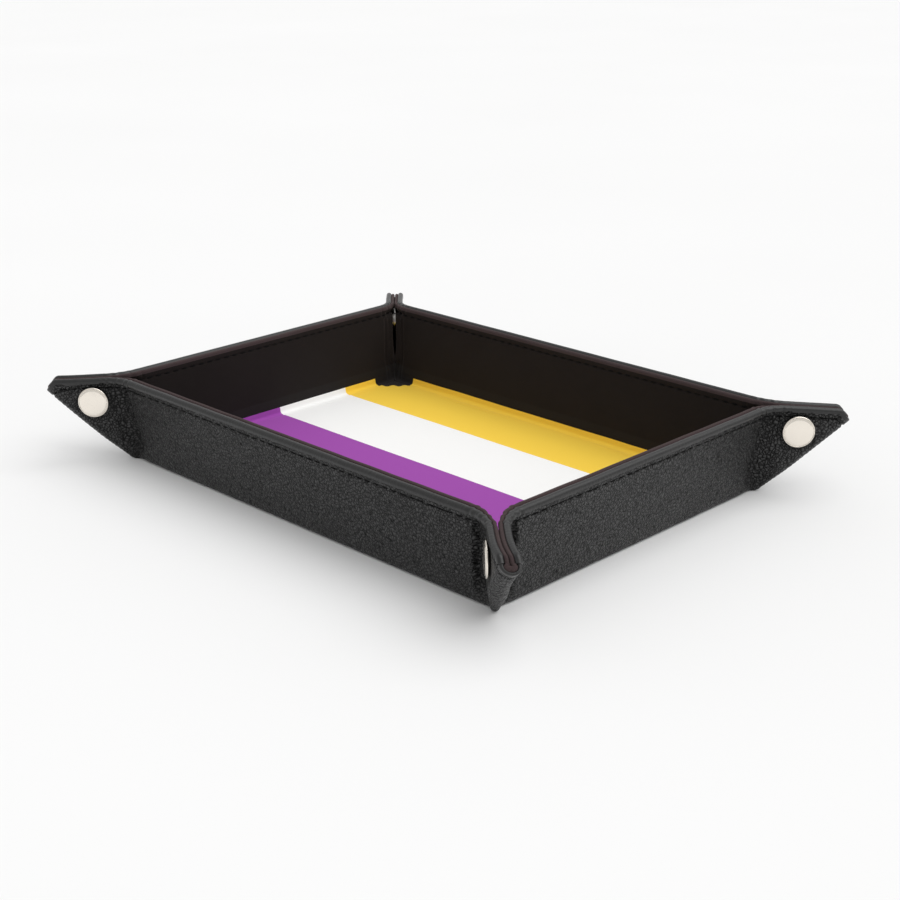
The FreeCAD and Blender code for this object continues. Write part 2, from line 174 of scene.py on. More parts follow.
class Half:
    """Half of a wall and the flap at its end, as one bent sheet."""

    def __init__(self, wall, end, sign):
        joint = JOINTS[f"{wall}_wall_{end}_flap_fold"]
        self.wall, self.end = wall, end
        self.wall_body = f"{wall}_wall"
        self.flap_body = f"{wall}_wall_{end}_flap"
        self.foot = np.array(joint["pos_m"]) / MM
        axis = np.array(joint["axis"])
        self.crease = axis * np.sign(axis[2])
        self.outward = np.array(WALLS[wall], float)
        self.slant = self.outward * math.sin(LEAN) + UP * math.cos(LEAN)
        self.inward = UP * math.sin(LEAN) - self.outward * math.cos(LEAN)
        self.ahead = np.cross(self.slant, self.inward) * sign
        self.beside = self.ahead * COS_SLOPE - self.slant * SIN_SLOPE
        self.length = float(self.foot @ self.ahead)
        self.reach = float(self.foot @ self.outward)
        self.closed = (self.ahead - self.outward) / ROOT2
        self.turn = math.acos(float(self.inward @ self.closed))
        self.bend = CREASE_RADIUS * math.tan(self.turn / 2)
        self.corner = self.foot + self.ahead * FLAP_DEPTH * ROOT2
        self.seed = float(self.foot @ (0.37, 0.91, 0))
        self.fold_seed = float(self.corner @ (0.37, 0.91, 0))
        self.diagonal = (self.ahead + self.outward) / ROOT2
        self.on_long_wall = wall in LONG_WALLS
        self.corner_name = f"{wall}_{end}" if self.on_long_wall else f"{end}_{wall}"
        self.swing_slope, self.swing_curve = SWINGS[self.corner_name]
        self.swing_sign = 1.0 if self.on_long_wall else -1.0

    def sheet_place(self, x, y):
        """The place on the whole unfolded sheet, in metres, for the grain and the print."""
        along = self.length + x
        out = self.reach + y
        flat_x = self.ahead[0] * along + self.outward[0] * out
        flat_y = self.ahead[1] * along + self.outward[1] * out
        return np.stack((flat_x, flat_y), axis=-1) * MM

    def past_crease(self, x, y):
        return x * COS_SLOPE - y * SIN_SLOPE

    def column_lean(self, x):
        """How far the mesh's columns lean: none at the wall's middle, the crease's near it."""
        return smooth(-self.length, -15.0, x) * SIN_SLOPE / COS_SLOPE

    def from_edge(self, x, y):
        return np.minimum(SLANT - y, (CLIP_LINE - x - y) / ROOT2)

    def round_foot(self, y, share):
        """Bends the sheet's lowest part round the fold edge and in under the floor: sharply
        where share is 0 and round where it is 1.  Returns the new y and depth."""
        half_turn = math.pi / 4 - LEAN / 2
        tangent = FOLD_RADIUS * math.tan(half_turn)
        turned = np.clip((tangent - y) / (2 * tangent), 0, 1) * 2 * half_turn
        round_y = tangent - FOLD_RADIUS * np.sin(turned)
        round_depth = FOLD_RADIUS * (1 - np.cos(turned))
        under = np.maximum(-y - tangent, 0)
        round_y = np.where(y > tangent, y, round_y - under * math.sin(LEAN))
        round_depth = round_depth + under * math.cos(LEAN)
        sharp_y = np.where(y > 0, y, y * math.sin(LEAN))
        sharp_depth = np.maximum(-y, 0) * math.cos(LEAN)
        return mix(sharp_y, round_y, share), mix(sharp_depth, round_depth, share)

    def round_crease(self, x, y):
        """Bends the sheet between wall and flap, round a fillet that narrows to the foot.
        Returns the place in space, the way into the tray's wall and the way across."""
        past = self.past_crease(x, y)
        up_crease = x * SIN_SLOPE + y * COS_SLOPE
        fillet = mix(FOOT_CREASE, CREASE_RADIUS, smooth(0, CREASE_NARROWS, up_crease))
        bend = fillet * math.tan(self.turn / 2)
        turned = np.clip((past + bend) / (2 * bend), 0, 1) * self.turn
        after = np.maximum(past - bend, 0)
        aside = np.minimum(past, -bend) + fillet * np.sin(turned)
        aside = aside + after * np.cos(turned)
        outside = fillet * (1 - np.cos(turned)) + after * np.sin(turned)
        cos_turn, sin_turn = np.cos(turned)[..., None], np.sin(turned)[..., None]
        normal = cos_turn * self.inward + sin_turn * self.beside
        across = cos_turn * self.beside - sin_turn * self.inward
        point = (self.foot + up_crease[..., None] * self.crease
                 + aside[..., None] * self.beside - outside[..., None] * self.inward)
        return point, normal, across

    def round_spine(self, point, normal, sideways, over, depth):
        """Puts the sheet at its depth, and rolls what lies past the folded edge round to
        the plane where the two flaps meet."""
        radius = (self.corner - point) @ self.closed - CLOSING_CLEARANCE
        radius = np.where(over > 0, np.maximum(radius, LEAST_SPINE), SPINE_RADIUS)
        curl = over / SPINE_RADIUS
        left = radius - depth
        left = np.where(over > 0, np.maximum(left, LEAST_CURL), left)
        point = point + sideways * (left * np.sin(curl))[..., None]
        return point + normal * (radius - left * np.cos(curl))[..., None]

    def place(self, x, y, depth, foot=True, spine=True):
        """The place in space of flat places at a depth.  foot bends the sheet in under the
        floor, and spine rolls it at the folded edge.  Nothing reaches below the ground or,
        until the corner leans, past the plane where its flaps meet."""
        x, y, depth = np.broadcast_arrays(
            np.asarray(x, float), np.asarray(y, float), np.asarray(depth, float))
        over = np.maximum((x - y) / ROOT2, 0) if spine else np.zeros_like(x)
        x, y = x - over / ROOT2, y + over / ROOT2
        foot_depth = np.zeros_like(depth)
        if foot:
            share = 1 - smooth(0, FOLD_LENGTH, self.past_crease(x, y))
            y, foot_depth = self.round_foot(y, share)
        point, normal, across = self.round_crease(x, y)
        point = point + normal * foot_depth[..., None]
        toe = TOE_REACH * (1 - smooth(0, TOE_SPREAD, y)) * smooth(-TOE_SPREAD, 0, x)
        point = point + self.ahead * toe[..., None]
        ahead = across * COS_SLOPE + self.crease * SIN_SLOPE
        upward = self.crease * COS_SLOPE - across * SIN_SLOPE
        point = self.round_spine(point, normal, (ahead - upward) / ROOT2, over, depth)
        beyond = np.maximum((point - self.corner) @ self.closed + CLOSING_CLEARANCE, 0)
        point = point - self.closed * beyond[..., None]
        point[..., 2] = np.maximum(point[..., 2], FLOOR_CLEARANCE)
        return point + self.swing(point)

    def swing(self, point):
        """How far a corner's soft flaps stand out of true, further towards their tips."""
        out = np.maximum((point - self.corner) @ self.diagonal, 0)
        aside = self.swing_slope * out + self.swing_curve * np.maximum(out - SNAP_ALONG, 0) ** 2
        return aside[..., None] * (self.swing_sign * self.closed)

    def ripple(self, x, y):
        """Slow unevenness of the glued sheet, with puckers where the rim bends."""
        along = self.length + x
        slow = 0.10 * np.sin(along * 0.13 + self.seed) * np.sin(y * 0.11 + self.seed * 1.7)
        slow = slow + 0.05 * np.sin(along * 0.29 + y * 0.21 + self.seed * 2.3)
        slow = slow * smooth(0, 30, along)
        past = self.past_crease(x, y)
        near_rim = 1 - smooth(1.5, 9.0, self.from_edge(x, y))
        near_bend = smooth(-13, -6, past) * (1 - smooth(3, 8, past))
        pucker = np.sin(past * 1.9 + self.seed) * 0.16 + np.sin(past * 3.1 + y) * 0.07
        near_fold = smooth(0, 2, (x - y) / ROOT2)
        return (slow + pucker * near_rim * near_bend) * (1 - near_fold)

    def dip(self, x, y):
        """How far the leather sinks past the board's end, 5 mm before the crease."""
        past = self.past_crease(x, y)
        hollow = smooth(-5.5, -4.2, past) * (1 - smooth(-1.0, 6.0, past)) * smooth(2, 11, y)
        return BOARD_DIP * hollow * smooth(EDGE_STRIP, 6.0, self.from_edge(x, y))

    def stack(self, x, y):
        """Thickness of the whole wall or flap along its rim, less where it is folded."""
        past = self.past_crease(x, y)
        over = np.maximum((x - y) / ROOT2, 0)
        rim = mix(STACK, HEM_STACK, smooth(-7, 1, past))
        return mix(rim, SPINE_STACK, smooth(0, 2, over))

    def leather_depth(self, x, y):
        """The leather's face, with the seam's groove, the hollow that the cap presses into
        it and the folded edge's wrinkles."""
        edge = self.from_edge(x, y)
        groove = GROOVE_DEPTH * np.exp(-((edge - STITCH_FROM_EDGE) / 0.40) ** 2)
        pressed = np.hypot(x - SNAP_ALONG, y - SNAP_UP)
        pressed = 0.35 * (1 - smooth(SNAP_RADIUS - 0.8, SNAP_RADIUS + 2.2, pressed))
        over = np.maximum((x - y) / ROOT2, 0)
        up_edge = (x + y) / ROOT2
        bent = smooth(0.4, 2.0, over) * smooth(1.0, 3.0, edge)
        phase = up_edge * 3.3 + np.sin(up_edge * 0.9 + self.fold_seed) + over * 0.25
        wrinkle = 0.06 * np.sin(phase) * bent
        wrinkle = wrinkle + 0.02 * np.sin(up_edge * 5.7 - over * 0.5) * bent
        return self.dip(x, y) + groove + pressed + wrinkle + self.ripple(x, y)

    def lining_depth(self, x, y):
        """The lining's face: on the board, and nearer the leather past the board's end."""
        edge = self.from_edge(x, y)
        past = self.past_crease(x, y)
        flap = FLAP_STACK + self.dip(x, y)
        field = mix(STACK, flap, smooth(-6.4, -2.2, past))
        depth = mix(self.stack(x, y), field, smooth(1.8, 3.4, edge))
        groove = LINING_GROOVE_DEPTH * np.exp(-((edge - STITCH_FROM_EDGE) / 0.45) ** 2)
        return depth - groove + self.ripple(x, y)

    def stations(self, foot):
        """Places along the sheet's edge with the way in from each: along the rim, round
        the tip and down the clip to the folded edge.  Columns run down from them.  Also
        returns the x of the column that ends at the crease foot, and of the one that ends
        on the folded edge at the height foot."""
        top = SLANT - EDGE_STRIP
        at_crease = top * SIN_SLOPE / COS_SLOPE
        at_foot = (foot * (COS_SLOPE - SIN_SLOPE) + top * SIN_SLOPE) / COS_SLOPE
        tip = TIP_RADIUS * math.tan(math.pi / 8)
        tip_x = CLIP_LINE - SLANT
        runs = (
            (-self.length, -3.0, 2.2),
            (-3.0, at_crease, 0.4),
            (at_crease, at_foot, 0.25),
            (at_foot, tip_x - tip, 0.25),
        )
        xs = [np.linspace(a, b, int((b - a) / step) + 2)[:-1] for a, b, step in runs]
        xs = np.concatenate(xs)
        edge = [np.stack((xs, np.full_like(xs, SLANT)), axis=-1)]
        way_in = [np.tile((0.0, -1.0), (len(xs), 1))]
        angles = np.linspace(0, math.pi / 4, 7)
        outward = np.stack((np.sin(angles), np.cos(angles)), axis=-1)
        centre = np.array((tip_x - tip, SLANT - TIP_RADIUS))
        edge.append(centre + outward * TIP_RADIUS)
        way_in.append(-outward)
        last = edge[-1][-1]
        fold_end = np.array((CLIP_LINE / 2, CLIP_LINE / 2))
        shares = np.linspace(0, 1, 8)[1:, None]
        edge.append(mix(last, fold_end, shares))
        way_in.append(np.tile((-1 / ROOT2, -1 / ROOT2), (len(shares), 1)))
        return np.concatenate(edge), np.concatenate(way_in), at_crease, at_foot


def lip_rows(stack, lining):
    """Distances in from the edge, and depths, over a turned edge: up the hidden side, round
    the lip and down to the strip's lower line."""
    radius = LIP_SHARE * stack / 2
    rows = [(np.full_like(radius, EDGE_STRIP), radius * 2)]
    for angle in np.linspace(math.pi, 0, 11):
        rows.append((radius * (1 - math.sin(angle)), radius * (1 - math.cos(angle))))
    rows.append(((radius + EDGE_STRIP) / 2, radius * 0))
    rows.append((np.full_like(radius, EDGE_STRIP), radius * 0))
    edge = np.stack([row[0] for row in rows])
    depth = np.stack([row[1] for row in rows])
    return edge, (stack - depth) if lining else depth


def fill_steps(length):
    """Rows below the edge strip: close beside the stitches, then wider."""
    fine = np.array((0.4, 0.8, 1.1, 1.35, 1.6, 1.8, 1.9, 2.0, 2.2, 2.45, 2.7, 3.1, 3.6))
    wide = np.linspace(4.4, length, 22)
    return np.concatenate((fine, wide)) / length


class Surface:
    """Collects grids of points into one mesh with the unfolded sheet as its UV map."""

    def __init__(self):
        self.points, self.flats, self.faces, self.slots = [], [], [], []
        self.count = 0

    def add(self, points, flats, out, slot=0):
        """A grid of points.  out is a direction that the faces should look along, and slot
        the number of the material."""
        rows, columns = points.shape[:2]
        index = np.arange(rows * columns).reshape(rows, columns) + self.count
        quads = np.stack(
            (index[:-1, :-1], index[1:, :-1], index[1:, 1:], index[:-1, 1:]), axis=-1)
        first = points[1:, :-1] - points[:-1, 1:]
        second = points[1:, 1:] - points[:-1, :-1]
        area = np.cross(first, second).reshape(-1, 3).sum(0)
        if area @ np.asarray(out, float) < 0:
            quads = quads[..., ::-1]
        self.points.append(points.reshape(-1, 3))
        self.flats.append(flats.reshape(-1, 2))
        self.faces.append(quads.reshape(-1, 4))
        self.slots.append(np.full((rows - 1) * (columns - 1), slot))
        self.count += rows * columns

    def build(self, name, *materials):
        """Joins points that meet, drops faces without area and gives the sheet thickness."""
        points = np.concatenate(self.points)
        flats = np.concatenate(self.flats)
        faces = np.concatenate(self.faces)
        _, first, same = np.unique(
            np.round(points, 3), axis=0, return_index=True, return_inverse=True)
        same = same.reshape(-1)
        kept, slots = [], []
        for face, slot in zip(same[faces], np.concatenate(self.slots)):
            ring = [int(v) for k, v in enumerate(face) if v != face[k - 1]]
            if len(set(ring)) > 2 and len(set(ring)) == len(ring):
                kept.append(ring)
                slots.append(slot)
        mesh = new_mesh(name, points[first], kept, flats[first])
        piece = new_object(name, mesh, *materials)
        mesh.polygons.foreach_set("material_index", slots)
        modifier = piece.modifiers.new("thickness", "SOLIDIFY")
        modifier.thickness = SHEET_THICK * MM
        modifier.offset = -1
        apply_modifiers(piece)
        for vertex in piece.data.vertices:
            vertex.co.z = max(vertex.co.z, FLOOR_CLEARANCE * MM)
        piece.data.set_sharp_from_angle(angle=SHARP_ANGLE)
        return piece


def new_mesh(name, points, faces, flats):
    """A smooth mesh from points in millimetres, with flats as its UV map."""
    mesh = bpy.data.meshes.new(name)
    mesh.from_pydata((np.asarray(points) * MM).tolist(), [], faces)
    layer = mesh.uv_layers.new(name="FlatSheet")
    corners = np.empty(len(mesh.loops), int)
    mesh.loops.foreach_get("vertex_index", corners)
    layer.data.foreach_set("uv", flats[corners].ravel())
    mesh.validate()
    mesh.shade_smooth()
    return mesh


def new_object(name, mesh, *materials):
    piece = bpy.data.objects.new(name, mesh)
    bpy.context.scene.collection.objects.link(piece)
    for material in materials:
        mesh.materials.append(material)
    return piece


def apply_modifiers(piece):
    evaluated = piece.evaluated_get(bpy.context.evaluated_depsgraph_get())
    mesh = bpy.data.meshes.new_from_object(evaluated)
    piece.modifiers.clear()
    piece.data = mesh
    mesh.name = piece.name


def bent_sheet(half, name, material, edge_skin, lining):
    """The leather or the lining of half a wall and its flap, with another material on the
    turned edge."""
    foot = LINING_FOOT if lining else FOLD_LENGTH
    face_depth = half.lining_depth if lining else half.leather_depth
    edge, way_in, at_crease, at_foot = half.stations(foot)
    out = half.inward if lining else -half.inward
    surface = Surface()

    def put(x, y, depth, slot=0):
        shape = np.broadcast(x, y, depth).shape
        points = half.place(x, y, depth, foot=not lining)
        flats = half.sheet_place(np.broadcast_to(x, shape), np.broadcast_to(y, shape))
        surface.add(points, flats, out, slot)

    def put_edge(edge, way_in):
        inset, depth = lip_rows(half.stack(edge[:, 0], edge[:, 1]), lining)
        x = edge[:, 0] + way_in[:, 0] * inset
        y = edge[:, 1] + way_in[:, 1] * inset
        put(x, y, depth + half.ripple(x, y), slot=1)

    # The turned edge, and the field below it down to the foot or the folded edge.
    put_edge(edge, way_in)
    top = edge + way_in * EDGE_STRIP
    to_fold = (top[:, 1] - top[:, 0]) / (COS_SLOPE - SIN_SLOPE)
    to_foot = (top[:, 1] - foot) / COS_SLOPE
    length = np.minimum(to_fold, to_foot)
    steps = fill_steps((SLANT - EDGE_STRIP - foot) / COS_SLOPE)
    steps = np.concatenate(((0.0,), steps))[:, None]
    y = top[:, 1] - steps * length * COS_SLOPE
    x = top[:, 0] - (top[:, 1] - y) * half.column_lean(top[:, 0])
    put(x, y, face_depth(x, y))

    # The toe, between the foot's line and the folded edge.
    after = edge[:, 0] >= at_crease - 1e-6
    toe = after & (edge[:, 0] <= at_foot + 1e-6)
    steps = np.linspace(0, 1, 8)[:, None]
    down = mix(length[toe], np.maximum(to_fold[toe], length[toe]), steps)
    x = top[toe, 0] - down * SIN_SLOPE
    y = top[toe, 1] - down * COS_SLOPE
    put(x, y, face_depth(x, y))

    # Round the folded edge, down to below the crease foot and up to the clip's edge.
    fold_x = (top[:, 0] - to_fold * SIN_SLOPE)[after][::-1]
    toe_end = (-0.8, -1.6, -2.4) if not lining else ()
    fold_x = np.concatenate((fold_x, toe_end))
    curl = np.linspace(0, math.pi / 2, 11)
    over = curl * SPINE_RADIUS / ROOT2
    x = fold_x[:, None] + over
    y = fold_x[:, None] - over
    put(x, y, face_depth(x, y))
    tip = edge[-1] + over[:, None] * (1, -1)
    put_edge(tip, np.tile(way_in[-1], (len(tip), 1)))
    return surface.build(name, material, edge_skin)


def bend_at_crease(piece):
    """Bakes a piece's placement into its mesh."""
    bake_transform(piece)


# ---------------------------------------------------------------- stitches

def stitch_line(half):
    """The seam's flat places and how far along the seam each one lies."""
    y = SLANT - STITCH_FROM_EDGE
    clip = CLIP_LINE - STITCH_FROM_EDGE * ROOT2
    fold_end = clip / 2
    end = SPINE_RADIUS * math.pi / 2 / ROOT2
    corners = np.array((
        (-half.length, y), (clip - y, y), (fold_end, fold_end), (fold_end + end, fold_end - end)))
    runs = np.linalg.norm(np.diff(corners, axis=0), axis=1)
    return corners, np.concatenate(((0,), np.cumsum(runs)))


def make_stitches(half, name, material, lining):
    """A row of short threads that lie in the seam's groove and dive into it at their ends."""
    corners, lengths = stitch_line(half)
    rings, sides = 9, 8
    points, faces, flats = [], [], []
    count = int((lengths[-1] - 1.0) / STITCH_PITCH)
    for number in range(count):
        start = (number + 0.5) * STITCH_PITCH - STITCH_LENGTH / 2
        along = start + np.linspace(0, STITCH_LENGTH, rings)
        x = np.interp(along, lengths, corners[:, 0])
        y = np.interp(along, lengths, corners[:, 1])
        way = np.gradient(np.stack((x, y)), axis=1)
        way = way / np.linalg.norm(way, axis=0)
        share = np.linspace(0, math.pi, rings)
        radius = THREAD_RADIUS * (0.30 + 0.70 * np.sin(share) ** 0.5)
        rise = 0.16 * np.sin(share) - 0.14
        angle = np.linspace(0, 2 * math.pi, sides, endpoint=False)[:, None]
        side = radius * np.cos(angle)
        high = rise + radius * 0.75 * np.sin(angle)
        face = half.lining_depth(x, y) if lining else half.leather_depth(x, y)
        depth = face + (high if lining else -high)
        ring_x = x - way[1] * side
        ring_y = y + way[0] * side
        base = len(points)
        points.extend(half.place(ring_x, ring_y, depth, foot=False).reshape(-1, 3))
        flats.extend(np.stack((np.tile(along, (sides, 1)), np.tile(angle, (1, rings))),
                              axis=-1).reshape(-1, 2) * MM)
        for side_index in range(sides):
            following = (side_index + 1) % sides
            for ring in range(rings - 1):
                faces.append((base + side_index * rings + ring,
                              base + side_index * rings + ring + 1,
                              base + following * rings + ring + 1,
                              base + following * rings + ring))
        faces.append([base + s * rings for s in range(sides)])
        faces.append([base + s * rings + rings - 1 for s in range(sides)][::-1])
    return new_object(name, new_mesh(name, points, faces, np.array(flats)), material)


# ---------------------------------------------------------------- folds, floor and corners

def fold_ends(half):
    """Flat x of a fold strip's columns, from the wall's middle to the crease foot."""
    wide = np.linspace(-half.length, -7.0, 40)[:-1]
    return np.concatenate((wide, np.linspace(-7.0, 0.0, 15)))


def bend_at_fold(piece):
    """Bakes a piece's placement into its mesh."""
    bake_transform(piece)


def make_fold_strip(wall, halves, material):
    """The leather that runs round a fold edge, from under the floor to the wall."""
    surface = Surface()
    for half in halves:
        path = np.linspace(-FOLD_LENGTH, FOLD_LENGTH, 21)[:, None]
        ends = fold_ends(half)
        x = ends + np.maximum(path, 0) * half.column_lean(ends)
        y = np.broadcast_to(path, x.shape)
        depth = (half.leather_depth(x, np.full_like(x, FOLD_LENGTH))
                 * smooth(-FOLD_LENGTH, FOLD_LENGTH, y))
        points = half.place(x, y, depth, spine=False)
        surface.add(points, half.sheet_place(x, y), -half.inward)
    strip = surface.build(f"{wall}_fold_leather", material)
    half = halves[0]
    bend_at_fold(strip)
    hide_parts(f"{wall}_fold_strip")


def foot_path(depth):
    """Rows of y, depth and distance from the turn where the floor's lining turns up the
    wall, for the wall's own lining depth."""
    turn_y = (FLOOR - depth * math.sin(LEAN)) / math.cos(LEAN)
    soft = 1.1
    rows = []
    for run in (-4.2, -3.4, -2.8, -2.3, -1.9, -1.5, -soft):
        rows.append((turn_y + run * math.sin(LEAN), depth - run * math.cos(LEAN), run))
    for share in np.linspace(0, 1, 9)[1:-1]:
        low, high = (1 - share) ** 2 * soft, share ** 2 * soft
        run = mix(-soft, soft, share)
        rows.append((turn_y - low * math.sin(LEAN) + high,
                     depth + low * math.cos(LEAN), run))
    top = LINING_FOOT - turn_y
    for share in (0, 0.08, 0.18, 0.3, 0.42, 0.55, 0.7, 0.85, 1):
        run = mix(soft, top, share)
        rows.append((turn_y + run, depth, run))
    return [np.stack([np.broadcast_to(row[k], depth.shape) for row in rows]) for k in range(3)]


def make_foot_strip(wall, halves, material):
    """The lining where it turns from the floor up a wall, with the print's border on it."""
    groove_at, groove_width, groove_depth = -1.9, 0.45, 0.28
    ridge_at, ridge_width, ridge_height = PRINT_CLIMB + 0.2, 0.35, 0.16
    surface = Surface()
    for half in halves:
        ends = fold_ends(half)
        lean = half.column_lean(ends)
        wall_x = ends + LINING_FOOT * lean
        wall_depth = half.lining_depth(wall_x, np.full_like(ends, LINING_FOOT))
        wall_y, depth, run = foot_path(wall_depth)
        floor_y, floor_depth, _ = foot_path(np.full_like(ends, STACK))
        on_floor = 1 - smooth(-2.2, 1.2, run)
        y = mix(wall_y, floor_y, on_floor)
        depth = mix(depth, floor_depth, on_floor)
        groove = groove_depth * np.exp(-((run - groove_at) / groove_width) ** 2)
        depth = depth + groove * math.sin(LEAN)
        y = y - groove * math.cos(LEAN)
        depth = depth - ridge_height * np.exp(-((run - ridge_at) / ridge_width) ** 2)
        x = ends + np.maximum(y, 0) * lean
        points = half.place(x, y, depth, foot=False, spine=False)
        surface.add(points, half.sheet_place(x, run - TURN_AT), half.inward)
    strip = surface.build(f"{wall}_foot_lining", material)
    half = halves[0]
    bend_at_fold(strip)


def refine(outline, step):
    """Adds points along an outline's sides."""
    points = []
    for start, end in zip(outline, np.roll(outline, -1, axis=0)):
        count = max(1, int(np.linalg.norm(end - start) / step))
        points.extend(mix(start, end, share) for share in np.arange(count) / count)
    return np.array(points)


# ---------------------------------------------------------------- snaps

def lathe(name, profile, place, axis, material):
    """A piece turned about an axis from (radius, height) points, with height along axis."""
    sides = 72
    axis = np.asarray(axis, float)
    first = np.cross(axis, UP)
    first = first / np.linalg.norm(first)
    second = np.cross(axis, first)
    angles = np.linspace(0, 2 * math.pi, sides, endpoint=False)
    points, faces, flats, rings = [], [], [], []
    for radius, height in profile:
        if radius < 1e-6:
            rings.append([len(points)])
            points.append(place + axis * height)
            flats.append((0, 0))
            continue
        rings.append(list(range(len(points), len(points) + sides)))
        for angle in angles:
            spoke = first * math.cos(angle) + second * math.sin(angle)
            points.append(place + axis * height + spoke * radius)
            flats.append((radius * math.cos(angle), radius * math.sin(angle)))
    for low, high in zip(rings, rings[1:]):
        for k in range(sides):
            n = (k + 1) % sides
            if len(low) == 1:
                faces.append((low[0], high[n], high[k]))
            elif len(high) == 1:
                faces.append((low[k], low[n], high[0]))
            else:
                faces.append((low[k], low[n], high[n], high[k]))
    mesh = new_mesh(name, points, faces, np.array(flats) * MM)
    return new_object(name, mesh, material)


def cap_profile():
    """A domed cap with a shallow ring inside its rolled edge, and its post behind."""
    ring_at = SNAP_RADIUS * 0.84
    profile = [(0.0, CAP_TOP)]
    for share in np.linspace(0.12, 1, 12):
        profile.append((ring_at * share, CAP_TOP - CAP_SAG * share ** 2))
    profile += [(ring_at + 0.18, 1.06), (ring_at + 0.34, 1.00), (ring_at + 0.48, 1.03)]
    centre = SNAP_RADIUS - CAP_ROLL
    for angle in np.linspace(math.radians(100), math.radians(-90), 12):
        profile.append((centre + CAP_ROLL * math.cos(angle),
                        CAP_ROLL_LEVEL + CAP_ROLL * math.sin(angle)))
    profile += [(centre - 0.3, CAP_UNDERSIDE), (POST_RADIUS, CAP_UNDERSIDE)]
    profile += [(POST_RADIUS, -POST_LENGTH), (0.0, -POST_LENGTH)]
    return profile


def make_cap(half, material):
    """The cap on a flap, square to the leaning leather."""
    kind = "cap" if half.on_long_wall else "back_cap"
    node = f"{half.corner_name}_snap_{kind}"
    centre = half.place(SNAP_ALONG, SNAP_UP, 0.0, foot=False)
    axis = half.closed - half.swing_sign * half.swing_slope * half.diagonal
    axis = axis / np.linalg.norm(axis)
    cap = lathe(f"{node}_domed", cap_profile(), centre, -axis, material)
    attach(cap, half.flap_body)
    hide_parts(node)


# ---------------------------------------------------------------- materials

def opaque(value):
    """A colour of three numbers with its alpha, and anything else as it is."""
    if isinstance(value, tuple) and len(value) == 3:
        return (*value, 1)
    return value


class Nodes:
    """Short ways to add and link a material's nodes."""

    def __init__(self, name):
        self.material = bpy.data.materials.new(name)
        self.material.use_nodes = True
        self.tree = self.material.node_tree
        self.shader = self.tree.nodes["Principled BSDF"]

    def add(self, kind, settings=None, **inputs):
        node = self.tree.nodes.new(kind)
        for key, value in (settings or {}).items():
            setattr(node, key, value)
        for key, value in inputs.items():
            self.set(node.inputs[key.replace("_", " ")], value)
        return node

    def set(self, socket, value):
        if isinstance(value, bpy.types.NodeSocket):
            self.tree.links.new(value, socket)
        else:
            socket.default_value = value

    def flat(self):
        """The unfolded sheet's place, in millimetres."""
        uv = self.add("ShaderNodeUVMap", {"uv_map": "FlatSheet"})
        scaled = self.add("ShaderNodeVectorMath", {"operation": "SCALE"})
        self.set(scaled.inputs[0], uv.outputs[0])
        scaled.inputs["Scale"].default_value = 1 / MM
        return scaled.outputs[0]

    def noise(self, vector, scale, detail=3.0, rough=0.55):
        node = self.add("ShaderNodeTexNoise", Vector=vector, Scale=scale, Detail=detail,
                        Roughness=rough)
        return node.outputs["Fac"]

    def ramp(self, value, stops):
        node = self.add("ShaderNodeValToRGB", Fac=value)
        for k, (place, colour) in enumerate(stops):
            if k > 1:
                node.color_ramp.elements.new(place)
            element = node.color_ramp.elements[k]
            element.position = place
            element.color = opaque(colour)
        return node.outputs["Color"]

    def spread(self, value, low, high):
        node = self.add("ShaderNodeMapRange", Value=value)
        node.inputs["To Min"].default_value = low
        node.inputs["To Max"].default_value = high
        return node.outputs["Result"]

    def math(self, operation, first, second=None):
        node = self.add("ShaderNodeMath", {"operation": operation})
        self.set(node.inputs[0], first)
        if second is not None:
            self.set(node.inputs[1], second)
        return node.outputs[0]

    def plus(self, first, second, share):
        """The first value and a share of the second."""
        return self.math("ADD", first, self.math("MULTIPLY", second, share))

    def blend(self, share, first, second):
        node = self.add("ShaderNodeMix", {"data_type": "RGBA"})
        self.set(node.inputs["Factor"], share)
        self.set(node.inputs[6], opaque(first))
        self.set(node.inputs[7], opaque(second))
        return node.outputs[2]

    def bump(self, height, strength, distance):
        node = self.add("ShaderNodeBump", Height=height, Strength=strength,
                        Distance=distance)
        return node.outputs["Normal"]

    def finish(self, **inputs):
        """Sets the shader's inputs, whose names have _ for each space."""
        for key, value in inputs.items():
            self.set(self.shader.inputs[key.replace("_", " ")], opaque(value))
        return self.material


